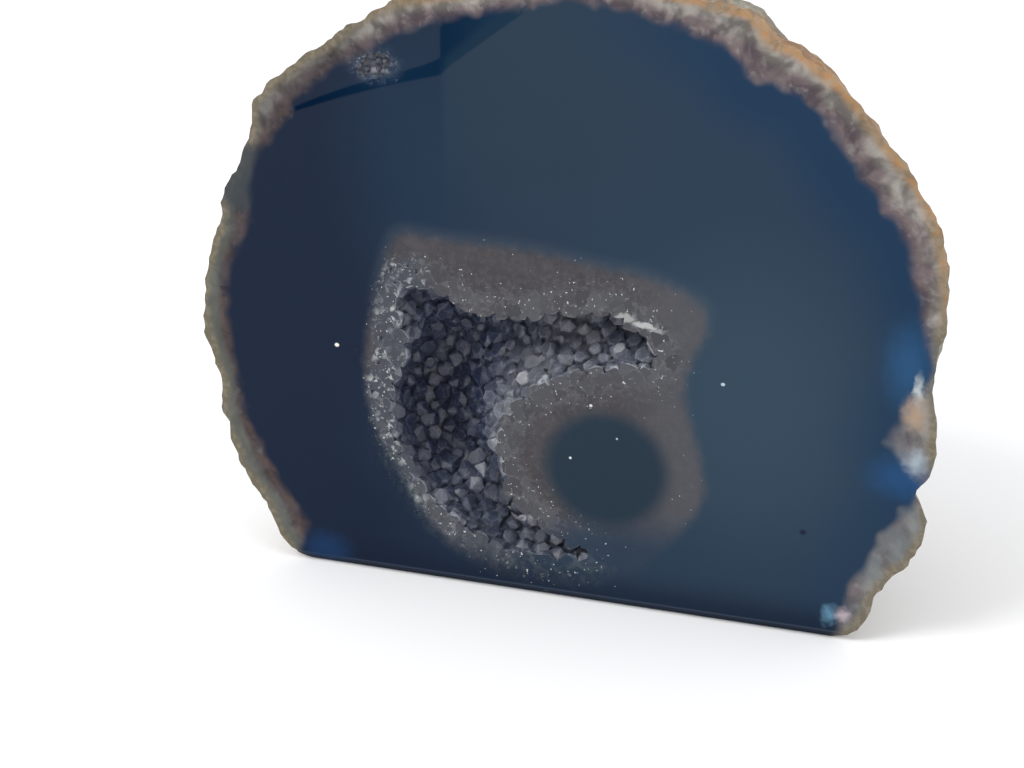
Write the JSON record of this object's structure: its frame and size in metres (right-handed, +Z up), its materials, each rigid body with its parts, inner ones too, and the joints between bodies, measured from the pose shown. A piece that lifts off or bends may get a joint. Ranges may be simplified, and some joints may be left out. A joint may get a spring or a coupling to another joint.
{
  "type": "agate geode half",
  "caption": "Sawn agate geode half with a polished blue face, a rough rind and a quartz-lined hollow, standing on its flat base.",
  "frame": {"origin": "centre of the bounding box in X and Y, at the height of the sawn base", "axes": "+X along the face's width, -Y out of the polished face, +Z up from the sawn base"},
  "size_m": [0.1064, 0.054, 0.086],
  "materials": {
    "agate": "polished blue face, matte brown rind",
    "quartz": "glassy crystals"
  },
  "bodies": {
    "root": {"agate_stone": "agate", "crystal_crust": "quartz"}
  },
  "joints": []
}
